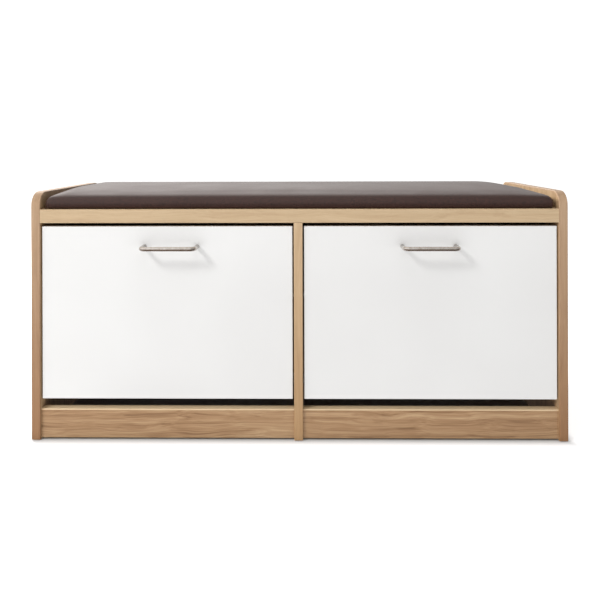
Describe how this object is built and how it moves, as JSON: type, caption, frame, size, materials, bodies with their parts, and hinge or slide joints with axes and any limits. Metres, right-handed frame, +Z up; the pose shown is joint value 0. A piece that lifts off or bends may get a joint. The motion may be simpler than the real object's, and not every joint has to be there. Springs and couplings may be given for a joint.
{
  "type": "entryway shoe bench",
  "caption": "Low entryway bench: oak-look cabinet with tilt-out shoe flaps in white gloss, bar handles and a padded seat.",
  "frame": {"origin": "on the floor, under the middle of the overall box", "axes": "+X along the bench to a sitter's left (viewer's right from the front), +Y from the front to the back, +Z up"},
  "size_m": [0.968, 0.328, 0.457],
  "materials": {
    "beech": "fluted dowel, unfinished",
    "black_plastic": "moulded, fine satin texture",
    "brown_faux_leather": "dark brown faux leather, fine pebble grain, soft sheen",
    "brown_hardboard": "dark brown hardboard, matt",
    "oak_board": "light oak laminate with fine grain, satin",
    "oak_edging": "light oak edging strip, satin, rounded edges",
    "pad_foam": "open-cell foam",
    "plywood": "raw plywood",
    "polished_nickel": "polished nickel plating",
    "white_edging": "white gloss edging strip",
    "white_gloss_board": "white high-gloss laminate on board",
    "white_nylon": "moulded nylon",
    "zinc_alloy": "die-cast, dull",
    "zinc_plated_steel": "bright zinc plating"
  },
  "bodies": {
    "cabinet": {"cam_bolts": "zinc_plated_steel", "cam_locks": "zinc_alloy", "centre_divider": "oak_board", "divider_edging": "oak_edging", "divider_screws": "zinc_plated_steel", "floor_glides": "white_nylon", "left_back_panel": "brown_hardboard", "left_pivot_bushes": "white_nylon", "left_plinth": "oak_board", "left_plinth_edging": "oak_edging", "left_rear_rail": "oak_board", "left_side_edging": "oak_edging", "left_side_panel": "oak_board", "left_stop_pins": "zinc_plated_steel", "right_back_panel": "brown_hardboard", "right_pivot_bushes": "white_nylon", "right_plinth": "oak_board", "right_plinth_edging": "oak_edging", "right_rear_rail": "oak_board", "right_side_edging": "oak_edging", "right_side_panel": "oak_board", "right_stop_pins": "zinc_plated_steel", "seat_board": "oak_board", "seat_board_edging": "oak_edging", "seat_pad_base": "plywood", "seat_pad_cover": "brown_faux_leather", "seat_pad_foam": "pad_foam", "seat_pad_screws": "zinc_plated_steel", "seat_pad_staples": "zinc_plated_steel", "wooden_dowels": "beech"},
    "left_flap": {"left_door": "white_gloss_board", "left_door_edging": "white_edging", "left_handle": "polished_nickel", "left_handle_screws": "zinc_plated_steel", "left_inner_wing": "black_plastic", "left_lower_shelf": "brown_hardboard", "left_middle_shelf": "brown_hardboard", "left_outer_wing": "black_plastic", "left_wing_screws": "zinc_plated_steel"},
    "right_flap": {"right_door": "white_gloss_board", "right_door_edging": "white_edging", "right_handle": "polished_nickel", "right_handle_screws": "zinc_plated_steel", "right_inner_wing": "black_plastic", "right_lower_shelf": "brown_hardboard", "right_middle_shelf": "brown_hardboard", "right_outer_wing": "black_plastic", "right_wing_screws": "zinc_plated_steel"}
  },
  "joints": [
    {"name": "left_flap_hinge", "type": "hinge", "parent": "cabinet", "child": "left_flap", "pos_m": [-0.238, -0.1, 0.1], "axis": [1, 0, 0], "range_deg": [0, 48]},
    {"name": "right_flap_hinge", "type": "hinge", "parent": "cabinet", "child": "right_flap", "pos_m": [0.238, -0.1, 0.1], "axis": [1, 0, 0], "range_deg": [0, 48]}
  ]
}
